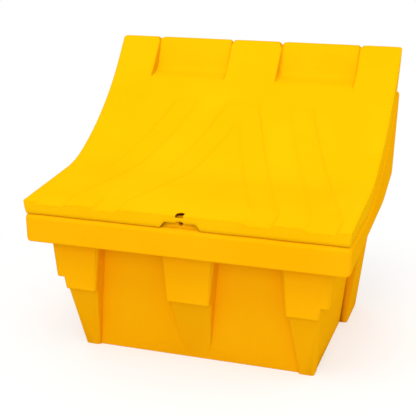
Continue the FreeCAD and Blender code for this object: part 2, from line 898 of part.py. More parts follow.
# Lid: the notch in the lip and the hole above the tongue
notch = extruded(
    "Notch",
    "front",
    [
        (-at.notch_low_half, at.rim_height, 0),
        (at.notch_low_half, at.rim_height, 0),
        (at.notch_high_half, at.rim_height + at.notch_height, at.notch_round),
        (-at.notch_high_half, at.rim_height + at.notch_height, at.notch_round),
    ],
    at.ledge_front,
    UNDER,
    0,
    y_of(0),
)
arch = extruded(
    "Arch",
    "front",
    [
        (-at.arch_half, at.rim_height, 0),
        (at.arch_half, at.rim_height, 0),
        (at.arch_half, at.rim_height + at.arch_height, at.arch_round),
        (-at.arch_half, at.rim_height + at.arch_height, at.arch_round),
    ],
    at.ledge_front,
    UNDER,
    0,
    y_of(0),
)
lock_hole = extruded(
    "LockHole",
    "plan",
    [
        (-at.lock_hole_half, y_of(channel_end), 0),
        (at.lock_hole_half, y_of(channel_end), 0),
        (at.lock_hole_half, y_of(at.lock_hole_reach), at.lock_hole_round),
        (-at.lock_hole_half, y_of(at.lock_hole_reach), at.lock_hole_round),
    ],
    UNDER,
    0,
    0,
    at.rim_height + at.lid_front_height - at.lock_hole_drop,
)


def crest_nick(name, centre, half, depth):
    """A small V across the crest above a gap between two knuckles."""
    corners = [
        (centre, crest_height - depth, 0),
        (centre + half, crest_height + at.wall, 0),
        (centre - half, crest_height + at.wall, 0),
    ]
    return extruded(name, "front", corners, UNDER, UNDER, 0, y_of(at.crest_behind))


inner_nick = crest_nick(
    "InnerNick",
    at.middle_half + at.knuckle_gap / 2,
    at.crest_notch_half,
    at.crest_notch_depth,
)
outer_nick = crest_nick(
    "OuterNick",
    at.pocket_half_end + at.knuckle_gap / 2,
    at.crest_nick_half,
    at.crest_nick_depth,
)
nicks = fused("RightNicks", inner_nick, outer_nick)
lid_shell = cut("LidShell", lid_mass, fused("LidTrims", lid_hollow, rear_trim))
lid_full = fused("LidFull", lid_shell, under_skin, right_hinge, mirrored(right_hinge))
lid_cuts = fused(
    "LidCuts",
    channels,
    pocket,
    mirrored(pocket),
    nicks,
    mirrored(nicks),
    notch,
    arch,
    lock_hole,
    bore,
)
lid = cut("Lid", lid_full, lid_cuts)
lid.Label = "lid"

# Hinge rod: a plain bar with chamfered ends, turned about its own axis
rod = doc.addObject("PartDesign::Body", "HingeRod")
rod.Label = "hinge_rod"


def axis_line(body, role):
    return next(part for part in body.Origin.OriginFeatures if part.Role == role)


def turned_body(body, corners, name):
    """A solid of revolution about the body's own X axis from a half outline."""
    sketch = body.newObject("Sketcher::SketchObject", name + "Outline")
    sketch.AttachmentSupport = [(axis_line(body, "XY_Plane"), "")]
    sketch.MapMode = "FlatFace"
    points = [Vector(as_size(x).value, as_size(y).value, 0) for x, y in corners]
    count = len(corners)
    for i in range(count):
        sketch.addGeometry(Part.LineSegment(points[i], points[(i + 1) % count]), False)
    for i in range(count):
        sketch.addConstraint(Sketcher.Constraint("Coincident", i, END, (i + 1) % count, START))
        for kind, size in zip(("DistanceX", "DistanceY"), corners[i]):
            place = Sketcher.Constraint(kind, ORIGIN, START, i, START, as_size(size).value)
            index = sketch.addConstraint(place)
            bind(sketch, f"Constraints[{index}]", size)
    turned = body.newObject("PartDesign::Revolution", name)
    turned.Profile = sketch
    turned.ReferenceAxis = (axis_line(body, "X_Axis"), [""])
    bind(body, ".Placement.Base.y", y_of(at.hinge_behind))
    bind(body, ".Placement.Base.z", hinge_height)


rod_radius = at.rod_diameter / 2
turned_body(
    rod,
    [
        (-at.rod_half, 0),
        (at.rod_half, 0),
        (at.rod_half, rod_radius - at.rod_chamfer),
        (at.rod_half - at.rod_chamfer, rod_radius),
        (at.rod_chamfer - at.rod_half, rod_radius),
        (-at.rod_half, rod_radius - at.rod_chamfer),
    ],
    "Bar",
)

# Rod caps: one pushed on each end of the rod, against the outer knuckles
cap_start = at.outer_knuckle_end + at.cap_gap
cap_end = cap_start + at.cap_length
cap = doc.addObject("PartDesign::Body", "RodCap")
turned_body(
    cap,
    [
        (cap_start, rod_radius),
        (cap_start, at.cap_diameter / 2),
        (cap_end - at.cap_crown, at.cap_diameter / 2),
        (cap_end, at.cap_diameter / 2 - at.cap_crown),
        (cap_end, 0),
        (at.rod_half, 0),
        (at.rod_half, rod_radius),
    ],
    "Cap",
)
caps = doc.addObject("Part::Compound", "RodCaps")
caps.Links = [cap, mirrored(cap)]
caps.Label = "rod_caps"

doc.recompute()
faults = []
for thing in doc.Objects:
    if "Invalid" in thing.State or "Error" in thing.State:
        faults.append(f"{thing.Name}: {thing.State}")
    elif hasattr(thing, "Shape") and (thing.Shape.isNull() or not thing.Shape.isValid()):
        faults.append(f"{thing.Name}: no valid shape")
for fault in faults:
    print(fault)
if faults:
    raise SystemExit("nothing was written")
for node in (tub, lid, rod, caps):
    litres = node.Shape.Volume / 1e6
    print(f"{node.Label}: {len(node.Shape.Solids)} solids, {litres:.3f} litres of material")
    node.Shape.exportStep(f"parts/{node.Label}.step")
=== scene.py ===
# %% [markdown]
# # A grit salt bin
#
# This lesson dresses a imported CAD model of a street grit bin: a yellow tub with nesting lugs, a sweeping
# ski-slope lid and the steel rod that joins them. The CAD model is the fixed frame, so every piece made here
# has to sit exactly where the frame says. Lengths are in metres, Z is up and the front of the bin looks
# towards -Y. Places in the side view are counted from the front of the rim, as on the drawing.

# %% Load the frame
import bisect
import math

import bmesh
import bpy
from mathutils import Matrix, Vector


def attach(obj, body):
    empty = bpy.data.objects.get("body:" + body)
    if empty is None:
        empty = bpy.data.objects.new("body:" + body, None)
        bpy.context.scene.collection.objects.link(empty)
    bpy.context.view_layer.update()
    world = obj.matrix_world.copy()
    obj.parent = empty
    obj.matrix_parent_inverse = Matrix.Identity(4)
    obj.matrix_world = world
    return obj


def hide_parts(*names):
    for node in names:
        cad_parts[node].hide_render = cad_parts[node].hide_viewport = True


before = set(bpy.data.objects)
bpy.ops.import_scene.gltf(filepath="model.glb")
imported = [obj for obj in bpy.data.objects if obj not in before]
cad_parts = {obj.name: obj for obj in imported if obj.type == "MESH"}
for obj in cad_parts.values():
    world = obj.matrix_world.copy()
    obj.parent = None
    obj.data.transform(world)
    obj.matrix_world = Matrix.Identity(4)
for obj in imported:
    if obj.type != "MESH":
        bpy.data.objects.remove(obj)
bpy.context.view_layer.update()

# %% [markdown]
# ## Writing shader maths as Python
#
# Procedural finishes need a lot of small sums: scale a noise, add a bias, keep a mask between 0 and 1. They
# can be wired by hand, but that takes a page of links. Here one small class wraps a socket and overloads the
# operators, so an expression such as 1 - mask * 0.3 adds its own Math nodes.

# %% A socket that does arithmetic
class Wire:
    """An output socket in a node tree that understands + - * and a few shader functions."""

    def __init__(self, board, socket):
        self.board = board
        self.socket = socket

    def math(self, operation, first, second):
        return self.board.node("Math", {"operation": operation}, {0: first, 1: second})

    def __add__(self, other):
        return self.math("ADD", self, other)

    def __radd__(self, other):
        return self.math("ADD", other, self)

    def __sub__(self, other):
        return self.math("SUBTRACT", self, other)

    def __rsub__(self, other):
        return self.math("SUBTRACT", other, self)

    def __mul__(self, other):
        return self.math("MULTIPLY", self, other)

    def __rmul__(self, other):
        return self.math("MULTIPLY", other, self)

    def clamped(self):
        return self.board.node("Clamp", {}, {"Value": self})

    def smooth_step(self, low, high):
        settings = {"interpolation_type": "SMOOTHSTEP"}
        return self.board.node("MapRange", settings, {"Value": self, "From Min": low, "From Max": high})


class Board:
    """One material's node tree with its Principled shader."""

    def __init__(self, name):
        self.material = bpy.data.materials.new(name)
        self.material.use_nodes = True
        self.tree = self.material.node_tree
        self.tree.nodes.clear()
        self.shader = self.tree.nodes.new("ShaderNodeBsdfPrincipled")
        self.output = self.tree.nodes.new("ShaderNodeOutputMaterial")
        self.tree.links.new(self.shader.outputs[0], self.output.inputs["Surface"])
        self.place = self.node("TexCoord", {}, {}, "Object")

    def node(self, kind, settings, values, result=0):
        made = self.tree.nodes.new("ShaderNode" + kind)
        for name, value in settings.items():
            setattr(made, name, value)
        for key, value in values.items():
            if isinstance(value, Wire):
                self.tree.links.new(value.socket, made.inputs[key])
            else:
                made.inputs[key].default_value = value
        return Wire(self, made.outputs[result])

    def noise(self, scale, detail=3.0, roughness=0.5, place=None):
        values = {"Vector": place or self.place, "Scale": scale, "Detail": detail, "Roughness": roughness}
        return self.node("TexNoise", {}, values, "Fac")

    def blend(self, factor, first, second):
        colour_a, colour_b, colour_out = 6, 7, 2  # the Mix node's sockets in its colour mode
        values = {"Factor": factor, colour_a: first, colour_b: second}
        return self.node("Mix", {"data_type": "RGBA"}, values, colour_out)

    def bump(self, height, distance, under=None):
        values = {"Height": height, "Distance": distance, "Strength": 1.0}
        if under:
            values["Normal"] = under
        return self.node("Bump", {}, values)

    def feed(self, name, value):
        if isinstance(value, Wire):
            self.tree.links.new(value.socket, self.shader.inputs[name])
        else:
            self.shader.inputs[name].default_value = value


print("shader helpers", Wire.__name__, Board.__name__)

# %% [markdown]
# ## Moulded polyethylene
#
# The tub and the lid come out of a mould, so the plastic is coloured right through and no paint edge shows.
# Its skin is matt, with a slow ripple from the cooling and a fine peel. A mirror layer would turn the flanks
# grey where they are seen at a low angle, so there is none. The Bevel node bends the shading across every edge
# within a few millimetres, inside corners too, as a moulding's blended edges do, and costs no geometry. The
# yellow drifts a little over a hand's width and is slightly deeper in the fine grain. A mark on the vertices,
# made together with the pieces, turns it brown as painted shade: inside the padlock opening, on the tongue's
# top behind it and at the foot of the pocket walls.

# %% Yellow plastic
EDGE_BLEND = 0.005
SKIN = ((9.0, 2.0, 0.0016), (150.0, 3.0, 0.00018), (620.0, 2.0, 0.00004))  # ripple, peel and fine peel
# where this mark is set on the vertices, the plastic turns brown as painted shade
SHADE_MARK = "painted_shade"  # the name of the mark on the vertices
SHADE_BROWN = (0.30, 0.05, 0.004, 1)


def yellow_plastic(name, clean_one, clean_two, deep):
    """Two clean yellows that drift into each other, and a deeper one in the grain."""
    board = Board(name)
    drift = board.noise(3.5, 2.0).smooth_step(0.3, 0.7)
    grain = (board.noise(420.0, 2.0) - 0.45) * 0.3
    yellow = board.blend(grain, board.blend(drift, clean_one, clean_two), deep)
    # painted shade: the yellow turns brown as far as the mark on the vertices goes
    painted_shade = board.node("Attribute", {"attribute_name": SHADE_MARK}, {}, "Fac")
    board.feed("Base Color", board.blend(painted_shade, yellow, SHADE_BROWN))
    board.feed("Roughness", 0.42 + board.noise(24.0) * 0.14)
    board.feed("Specular IOR Level", 0.0)
    normal = board.node("Bevel", {"samples": 6}, {"Radius": EDGE_BLEND})
    for scale, detail, height in SKIN:
        normal = board.bump(board.noise(scale, detail), height, normal)
    board.feed("Normal", normal)
    return board.material


tub_plastic = yellow_plastic("moulded_yellow_tub", clean_one=(0.975, 0.440, 0.001, 1),
                             clean_two=(0.985, 0.462, 0.002, 1), deep=(0.92, 0.34, 0.001, 1))
lid_plastic = yellow_plastic("moulded_yellow_lid", clean_one=(0.980, 0.505, 0.001, 1),
                             clean_two=(0.990, 0.530, 0.002, 1), deep=(0.94, 0.42, 0.001, 1))
print("plastics", tub_plastic.name, lid_plastic.name)

# %% [markdown]
# ## Zinc-plated steel
#
# The rod and its caps are cheap plated steel. The plating is a dull mirror, so metallic is 1, and long
# streaks along the rod plus small dull patches keep it from looking like chrome.

# %% Plated steel
BRIGHT_ZINC, DULL_ZINC = (0.36, 0.37, 0.38, 1), (0.26, 0.26, 0.27, 1)
ALONG_ROD = (4.0, 90.0, 90.0)  # a small scale on X draws the noise out into streaks along the rod


def plated_steel(name):
    board = Board(name)
    stretched = board.node("Mapping", {}, {"Vector": board.place, "Scale": ALONG_ROD})
    streaks = board.noise(6.0, 4.0, 0.6, stretched)
    patches = board.noise(55.0, 4.0, 0.65)
    board.feed("Base Color", board.blend(patches.smooth_step(0.4, 0.75), BRIGHT_ZINC, DULL_ZINC))
    board.feed("Metallic", 1.0)
    board.feed("Roughness", (0.34 + streaks * 0.16 + patches * 0.12).clamped())
    board.feed("Normal", board.bump(streaks, 0.0001))
    return board.material


steel = plated_steel("plated_steel")
for name in ("hinge_rod", "rod_caps"):
    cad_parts[name].data.materials.clear()
    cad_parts[name].data.materials.append(steel)
print("steel on hinge_rod and rod_caps")

# %% [markdown]
# ## The lines the lid follows
#
# Seen from the side, the lid is one long ski slope: nearly level at the lip, then two bends up to the crest.
# Straight lines joined by arcs describe it exactly as the mould maker would. A small class samples such a line
# once and then answers three questions: how high it is at a place, how long it is up to there, and where it
# is after so many metres.

# %% Lines from corners and arcs
ARC_STEPS = 24


class Line:
    """A line in the side view, given by corners (behind the front, height, radius)."""

    def __init__(self, corners):
        self.points = [Vector(corners[0][:2])]
        for before, corner, after in zip(corners, corners[1:], corners[2:]):
            here, radius = Vector(corner[:2]), corner[2]
            to_start = (Vector(before[:2]) - here).normalized()
            to_end = (Vector(after[:2]) - here).normalized()
            half = to_start.angle(to_end) / 2
            reach = radius / math.tan(half)
            middle = here + (to_start + to_end).normalized() * (radius / math.sin(half))
            first, last = here + to_start * reach - middle, here + to_end * reach - middle
            sweep = first.angle_signed(last) if radius else 0.0
            for step in range(ARC_STEPS + 1 if radius else 1):
                self.points.append(middle + Matrix.Rotation(-sweep * step / ARC_STEPS, 2) @ first)
        self.points.append(Vector(corners[-1][:2]))
        self.lengths = [0.0]
        for before, after in zip(self.points, self.points[1:]):
            self.lengths.append(self.lengths[-1] + (after - before).length)

    def piece_at(self, behind):
        """The number of the straight piece at a place, and how far along that piece the place is."""
        for k, (before, after) in enumerate(zip(self.points, self.points[1:])):
            if behind <= after.x:
                break
        return k, (behind - before.x) / max(after.x - before.x, 1e-9)

    def height(self, behind):
        k, share = self.piece_at(behind)
        return self.points[k].y + (self.points[k + 1].y - self.points[k].y) * share

    def length_to(self, behind):
        k, share = self.piece_at(behind)
        return self.lengths[k] + (self.lengths[k + 1] - self.lengths[k]) * share

    def walk(self, length):
        """The point after this length, and the unit normal that points out of the lid."""
        length = min(max(length, 0.0), self.lengths[-1])
        k = min(bisect.bisect_right(self.lengths, length) - 1, len(self.lengths) - 2)
        before, after = self.points[k], self.points[k + 1]
        share = (length - self.lengths[k]) / max(self.lengths[k + 1] - self.lengths[k], 1e-9)
        along = (after - before).normalized()
        return before + (after - before) * share, Vector((-along.y, along.x))


DEPTH = 0.858
UPPER_BEND = (0.6259, 0.6795)
CREST_FRONT, CREST_BACK = (0.8185, 0.913), (0.824, 0.913)
slope = Line([(0, 0.5262, 0), (0.3625, 0.5566, 0.36), (*UPPER_BEND, 0.96), (*CREST_FRONT, 0), (*CREST_BACK, 0)])
rim = Line([(0, 0.484, 0), (0.304, 0.484, 0.28), (0.6138, 0.5555, 0.86), (0.86, 0.829, 0)])
print("slope", round(slope.lengths[-1], 4), "m long; rim height half way", round(rim.height(DEPTH / 2), 4))

# %% [markdown]
# ## Channels that carry meltwater off
#
# Shallow channels fan out down the slope and run over the lip. On the moulding the sides away from the middle
# are crisp and the sides towards it are soft. They are described here by their plan outlines and a distance to
# the nearest edge, so that the depth can fade in across that edge as fast or as slowly as the side needs.

# %% Channel outlines
CHANNEL_DEPTH, LIP_DEPTH, LIP_FADE = 0.0065, 0.0085, 0.12
CRISP, SOFT = 0.007, 0.022  # how wide the sides are, away from the middle and towards it
CHANNELS_END, CHANNELS_SIDE = 0.66, 0.48
# Each outline is a list of (across, behind) and goes backwards along its crisp sides.
band = [(0.369, -0.1), (0.460, -0.1), (0.460, 0.085), (0.369, 0.349), (0.243, 0.644), (0.163, 0.644),
        (0.284, 0.349), (0.369, 0.085)]
arrow = [(0.195, -0.1), (0.273, -0.1), (0.273, 0.085), (0.176, 0.349), (0.057, 0.644), (-0.1, 0.644),
         (-0.1, 0.590), (0.0, 0.590), (0.133, 0.237), (0.195, 0.085)]


def inside_by(outline, place):
    """How far a point is inside a closed outline, in widths of the nearest side, negative outside it."""
    nearest, width, crossings = 1e9, SOFT, 0
    for start, end in zip(outline, outline[1:] + outline[:1]):
        start, end = Vector(start), Vector(end)
        run = end - start
        share = min(max((place - start).dot(run) / run.length_squared, 0.0), 1.0)
        away = (start + run * share - place).length
        if away < nearest:
            nearest, width = away, CRISP if run.y > 0 else SOFT
        if (start.y > place.y) != (end.y > place.y):
            crossings += start.x + (place.y - start.y) / run.y * run.x > place.x
    return (nearest if crossings % 2 else -nearest) / width


def smooth(value):
    """0 up to 0, 1 from 1 on, and an S-curve between them."""
    value = min(max(value, 0.0), 1.0)
    return value * value * (3 - 2 * value)


def channel_sink(across, behind):
    """The depth of the channels at a place, the same on both halves of the lid."""
    place = Vector((abs(across), behind))
    if place.y > CHANNELS_END or place.x > CHANNELS_SIDE:
        return 0.0
    inside = max(inside_by(band, place), inside_by(arrow, place))
    depth = LIP_DEPTH + (CHANNEL_DEPTH - LIP_DEPTH) * smooth(place.y / LIP_FADE)
    return depth * smooth(inside + 0.5)


print("channel depth on the band", channel_sink(0.41, 0.05), "and beside it", channel_sink(0.49, 0.05))

# %% [markdown]
# ## Pockets at the crest
#
# Behind each half of the crest the skin drops into a pocket, a level ledge with a nearly upright back, which
# leaves room for a hand and stiffens the hinge line. The rows of the grid that cross a pocket leave the slope
# and follow the pocket's own line instead. A few close columns at each end share out the drop, so the corners
# come out rounded.

# %% Pocket shape
POCKET_FROM, POCKET_TO = 0.092, 0.361
POCKET_START = 0.690
pocket = Line([(POCKET_START, slope.height(POCKET_START), 0), (0.715, 0.7880, 0.060), (0.777, 0.807, 0.040),
               (0.808, 0.881, 0.008), (*CREST_BACK, 0)])
pocket_begin = slope.length_to(POCKET_START)
WALL_REACH, WALL_FOOT = 0.017, 0.0010  # the rounded wall begins outside the pocket and ends just inside it
WALL_STEPS = (0.0, 0.35, 0.60, 0.78, 0.88, 0.94, 0.98, 1.0)
WALL_POWER = 4  # 2 would be a quarter of an ellipse, more comes closer to a corner


def pocket_share(across):
    """0 on the slope, 1 in the pocket and a tight round between them, steepest at its foot."""
    inside = min(abs(across) - POCKET_FROM, POCKET_TO - abs(across))
    part = min(max((inside + WALL_REACH) / (WALL_REACH + WALL_FOOT), 0.0), 1.0)
    return 1 - (1 - part ** WALL_POWER) ** (1 / WALL_POWER)


print("pocket line", round(pocket.lengths[-1], 4), "m from ledge to crest")

# %% [markdown]
# The crest isn't one straight edge. A V nick parts the knuckles at each meeting, and each stretch between two
# nicks has settled by its own few millimetres. Both are written as one function of the place across, and the
# slope simply ends that much earlier there.

# %% Nicks and stretches of the crest
NICKS = ((0.0885, 0.010, 0.024), (0.3645, 0.009, 0.014))  # the middle, half width and depth of each
NICK_POWER = 1.4  # a little more than 1 gives the V hollow sides
CREST_SET = ((-0.502, 0.0), (-0.366, 0.0), (-0.363, 0.0035), (-0.091, 0.0), (-0.086, 0.002), (0.086, 0.005),
             (0.091, 0.0005), (0.363, 0.003), (0.366, 0.0025), (0.502, 0.0))  # the place across and how low


def crest_drop(across):
    """How much shorter the slope is at the crest: the V nicks, and what each stretch has settled."""
    nick = max(deep * max(0.0, 1 - abs(abs(across) - centre) / half) ** NICK_POWER
               for centre, half, deep in NICKS)
    for (start, low), (end, high) in zip(CREST_SET, CREST_SET[1:]):
        if across <= end:
            break
    return nick + low + (high - low) * (across - start) / (end - start)


print("crest drop in a nick", round(crest_drop(NICKS[0][0]), 4), "and in the middle", round(crest_drop(0.0), 4))

# %% [markdown]
# ## The lid's skin
#
# The skin starts as a flat grid whose rows and columns are moved to where the detail is: tight at the pockets
# and the notch, wider on the plain slope. The marks are the places that need a column or a row of their own,
# and even steps fill the stretches between them.

# %% Rows and columns
LID_HALF, EDGE_STRIP = 0.5015, 0.014
NOTCH_HALF, NOTCH_RAMP, ARCH_HALF = 0.064, 0.018, 0.012
COLUMN_STEP, ROW_STEP, NARROWEST = 0.0050, 0.0062, 0.0004


def stations(marks, spacing):
    """Every mark, with even steps no longer than the spacing between them."""
    places = [marks[0]]
    for before, after in zip(marks, marks[1:]):
        steps = max(1, math.ceil((after - before) / spacing - 1e-6))
        places += [before + (after - before) * k / steps for k in range(1, steps + 1)]
    return places


half_marks = [0.0, ARCH_HALF, NOTCH_HALF - NOTCH_RAMP, NOTCH_HALF + 0.002]
for centre, half, deep in NICKS:
    half_marks += [centre - half, centre]
wall_marks = [step * (WALL_REACH + WALL_FOOT) - WALL_REACH for step in WALL_STEPS]
half_marks += [POCKET_FROM + mark for mark in wall_marks] + [POCKET_TO - mark for mark in wall_marks]
half_marks += [NICKS[1][0] + NICKS[1][1], 0.44, LID_HALF - EDGE_STRIP, LID_HALF]
half_marks = sorted(set(round(mark, 5) for mark in half_marks))
half_columns = stations(half_marks, COLUMN_STEP)
half_columns = [c for k, c in enumerate(half_columns) if k == 0 or c - half_columns[k - 1] > NARROWEST]
columns = [-c for c in reversed(half_columns[1:])] + half_columns
row_marks = [0.0, EDGE_STRIP, pocket_begin, slope.length_to(CREST_FRONT[0]), slope.lengths[-1]]
rows = stations(row_marks, ROW_STEP)
print(len(columns), "columns and", len(rows), "rows")

# %% [markdown]
# Each vertex knows its column and row. It is walked that far along the slope, or inside a pocket along the
# pocket's line, and then sinks by the depth of the channels. So the grid bends like a sheet.

# %% Bend the grid into the slope
CREST_RUN_IN = 0.06  # the last stretch of the slope, over which the crest's drop fades in


def on_lid(across, length):
    """The place of a grid point on the lid."""
    run_in = smooth((length - (slope.lengths[-1] - CREST_RUN_IN)) / CREST_RUN_IN)
    length -= crest_drop(across) * run_in
    point, normal = slope.walk(length)
    share = pocket_share(across)
    if share and length > pocket_begin:
        whole = slope.lengths[-1] - pocket_begin
        sunk = pocket.walk((length - pocket_begin) / whole * pocket.lengths[-1])[0]
        point = point.lerp(sunk, share)
    point = point - normal * channel_sink(across, point.x)
    return Vector((across, point.x - DEPTH / 2, point.y))


sheet = bmesh.new()
bmesh.ops.create_grid(sheet, x_segments=len(columns) - 1, y_segments=len(rows) - 1, size=0.5)
grid_place = {}
for vertex in sheet.verts:
    column = round((vertex.co.x + 0.5) * (len(columns) - 1))
    row = round((vertex.co.y + 0.5) * (len(rows) - 1))
    grid_place[vertex] = (column, row)
    vertex.co = on_lid(columns[column], rows[row])
print("sheet", len(sheet.verts), "vertices,", len(sheet.faces), "faces")

# %% [markdown]
# A lip hangs down in front and a flange at each side, nearly touching the rim. They are the sheet's border,
# extruded down in a few steps that lean in more and more, as the tucked edge of the moulding does. The lower
# edge of the lip leaves out the notch for the padlock.

# %% Fold the lip and the flanges down
LID_GAP, NOTCH_HEIGHT, ARCH_HEIGHT = 0.0004, 0.017, 0.005
FOLD_STEPS, FOLD_IN = 4, 0.004
CLOSE = 0.0001


def lip_bottom(across):
    """The lower edge of the lip with its notch and small arch."""
    ramp = min(max((NOTCH_HALF - abs(across)) / NOTCH_RAMP, 0.0), 1.0)
    arch = math.sqrt(max(0.0, 1 - (across / ARCH_HALF) ** 2))
    return rim.height(0.0) + LID_GAP + NOTCH_HEIGHT * smooth(ramp) + ARCH_HEIGHT * arch


def on_border(edge):
    ends = [grid_place[v] for v in edge.verts]
    sides = [all(e[0] == side for e in ends) for side in (0, len(columns) - 1)]
    return any(sides) or all(e[1] == 0 for e in ends)


border = [edge for edge in sheet.edges if on_border(edge)]
hem = border
for step in range(FOLD_STEPS):
    hem = [e for e in bmesh.ops.extrude_edge_only(sheet, edges=hem)["geom"] if isinstance(e, bmesh.types.BMEdge)]
    hem = [e for e in hem if all(len(v.link_faces) < 3 for v in e.verts)]  # only the new outer row
    left = 1 / (FOLD_STEPS - step)
    tuck = FOLD_IN * (((step + 1) / FOLD_STEPS) ** 2 - (step / FOLD_STEPS) ** 2)
    for vertex in {v for e in hem for v in e.verts}:
        along = vertex.co.y + DEPTH / 2
        at_side = abs(vertex.co.x) > LID_HALF - FOLD_IN - CLOSE
        target = rim.height(max(along, 0.0)) + LID_GAP if at_side else lip_bottom(vertex.co.x)
        vertex.co.z += (target - vertex.co.z) * left
        if at_side:
            vertex.co.x -= math.copysign(tuck, vertex.co.x)
        if along < FOLD_IN + CLOSE:
            vertex.co.y += tuck
print("border edges", len(border), "folded down in", FOLD_STEPS, "steps")

# %% [markdown]
# A moulding has no sharp outer edge. The border and the two upright front corners get one bevel while the mesh
# is still a thin sheet, so that the inside of the wall follows the same round later.

# %% Round the upper edges and the front corners
LID_ROUND = 0.0085
corner_posts = [e for e in sheet.edges if e not in border
                and all(abs(v.co.x) > LID_HALF - FOLD_IN - CLOSE for v in e.verts)
                and all(v.co.y < FOLD_IN + CLOSE - DEPTH / 2 for v in e.verts)]
bmesh.ops.bevel(sheet, geom=border + corner_posts, offset=LID_ROUND, offset_type="OFFSET", segments=4,
                profile=0.5, affect="EDGES", clamp_overlap=True, material=-1)
bmesh.ops.recalc_face_normals(sheet, faces=sheet.faces)
print("rounded", len(border), "border edges and", len(corner_posts), "corner edges")

# %% [markdown]
# The flanges stop short of the hinge, so that they clear the back wall when the lid swings. Two planes are
# cut across them without removing anything, and then the small faces behind both planes are deleted.

# %% Trim the flanges at the back
knee, foot, crest = Vector((0.778, 0.783)), Vector((0.765, 0.484)), Vector((0.824, 0.9131))
FLANGE_STRIP = 0.012


def behind_line(place, low, high):
    """How far a place lies behind a line in the side view."""
    run = (high - low).normalized()
    off = Vector((place.y + DEPTH / 2, place.z)) - low
    return off.x * run.y - off.y * run.x


def in_trim(place):
    return (behind_line(place, foot, knee) > CLOSE and behind_line(place, knee, crest) > CLOSE
            and abs(place.x) > LID_HALF - FLANGE_STRIP)


for low, high in ((foot, knee), (knee, crest)):
    run = (high - low).normalized()
    whole = sheet.verts[:] + sheet.edges[:] + sheet.faces[:]
    bmesh.ops.bisect_plane(sheet, geom=whole, plane_co=(0, low.x - DEPTH / 2, low.y), plane_no=(0, run.y, -run.x))
beyond = [face for face in sheet.faces if in_trim(face.calc_center_median())]
bmesh.ops.delete(sheet, geom=beyond, context="FACES")
print("trimmed", len(beyond), "faces")

# %% [markdown]
# The crest ends in a small quarter round at each side. The grid has no corner there that a bevel could take,
# so the vertices near the ends slide down the slope by the round's own depth.

# %% Round the ends of the crest
CREST_ROUND, CREST_NEAR = 0.010, 0.05
up_slope = Vector((0, crest.x - UPPER_BEND[0], crest.y - UPPER_BEND[1])).normalized()
for vertex in sheet.verts:
    corner = min(max((abs(vertex.co.x) - LID_HALF) / CREST_ROUND + 1, 0.0), 1.0)
    near = smooth((vertex.co.z - crest.y) / CREST_NEAR + 1)
    vertex.co -= up_slope * (near * CREST_ROUND * (1 - math.sqrt(1 - corner * corner)))
print("crest ends rounded by", CREST_ROUND)

# %% [markdown]
# The half-round opening over the padlock eye goes through the top corner of the lip. It is cut out of the
# sheet the way the flanges were: planes that touch the opening's outline score the faces close to it, and the
# faces inside all the planes go. Each cut leaves its new vertices in an order that changes from run to run, and
# merging depends on that order, so the vertices are sorted by their place first.

# %% Opening over the padlock eye
LOCK_HALF, LOCK_REACH, LOCK_DROP, LOCK_PLANES = 0.0115, 0.026, 0.0068, 14
SCORE_HALF, SCORE_REACH, SCORE_BELOW = 0.02, 0.036, 0.006  # the stretch of skin that the planes may score
lock_floor = slope.points[0].y - LOCK_DROP
lock_middle = Vector((0, LOCK_REACH - LOCK_HALF - DEPTH / 2, lock_floor))
touching = [(Matrix.Rotation(math.pi * k / LOCK_PLANES, 3, "Z") @ Vector((1, 0, 0)), LOCK_HALF)
            for k in range(LOCK_PLANES + 1)]
touching.append((Vector((0, 0, -1)), 0.0))


def near_lock(face):
    middle = face.calc_center_median()
    return (abs(middle.x) < SCORE_HALF and middle.y < SCORE_REACH - DEPTH / 2
            and middle.z > lock_floor - SCORE_BELOW)


def put_in_order(elements, place):
    for number, element in enumerate(sorted(elements, key=place)):
        element.index = number
    elements.sort()


for direction, reach in touching:
    close = [face for face in sheet.faces if near_lock(face)]
    scored = set(close) | {v for face in close for v in face.verts} | {e for face in close for e in face.edges}
    bmesh.ops.bisect_plane(sheet, geom=list(scored), plane_co=lock_middle + direction * reach, plane_no=direction)
opened = [face for face in sheet.faces if near_lock(face) and all(
    (face.calc_center_median() - lock_middle).dot(direction) < reach for direction, reach in touching)]
bmesh.ops.delete(sheet, geom=opened, context="FACES")
put_in_order(sheet.verts, lambda vertex: tuple(vertex.co))
bmesh.ops.remove_doubles(sheet, verts=sheet.verts, dist=0.00005)
put_in_order(sheet.faces, lambda face: tuple(face.calc_center_median()))
print("opening", len(opened), "faces")

# %% [markdown]
# The sheet becomes a moulding when Solidify gives it a 5 mm wall on the inside, so the outside stays where
# the frame wants it. Weighted normals keep the broad faces flat beside their rounded edges. Both modifiers are
# made part of the mesh at once, because the next pieces are made the same way.

# %% From a bmesh to a finished object
def to_object(mesh, name):
    data = bpy.data.meshes.new(name)
    mesh.to_mesh(data)
    mesh.free()
    made = bpy.data.objects.new(name, data)
    bpy.context.scene.collection.objects.link(made)
    data.shade_smooth()
    return made


def modify(thing, kind, **settings):
    modifier = thing.modifiers.new(kind.lower(), kind)
    for name, value in settings.items():
        setattr(modifier, name, value)


def settle(thing):
    """Make the object's modifiers part of its mesh."""
    graph = bpy.context.evaluated_depsgraph_get()
    data = bpy.data.meshes.new_from_object(thing.evaluated_get(graph), depsgraph=graph)
    thing.modifiers.clear()
    thing.data = data


print("object helpers", to_object.__name__, modify.__name__, settle.__name__)

# %% Wall and normals
WALL = 0.005
outside = len(sheet.verts)
lid_shell = to_object(sheet, "lid_shell")
lid_shell.data.materials.append(lid_plastic)
modify(lid_shell, "SOLIDIFY", thickness=WALL, offset=-1.0)
modify(lid_shell, "WEIGHTED_NORMAL", mode="FACE_AREA", weight=50)
settle(lid_shell)
print("wall of", WALL, "behind", outside, "vertices")
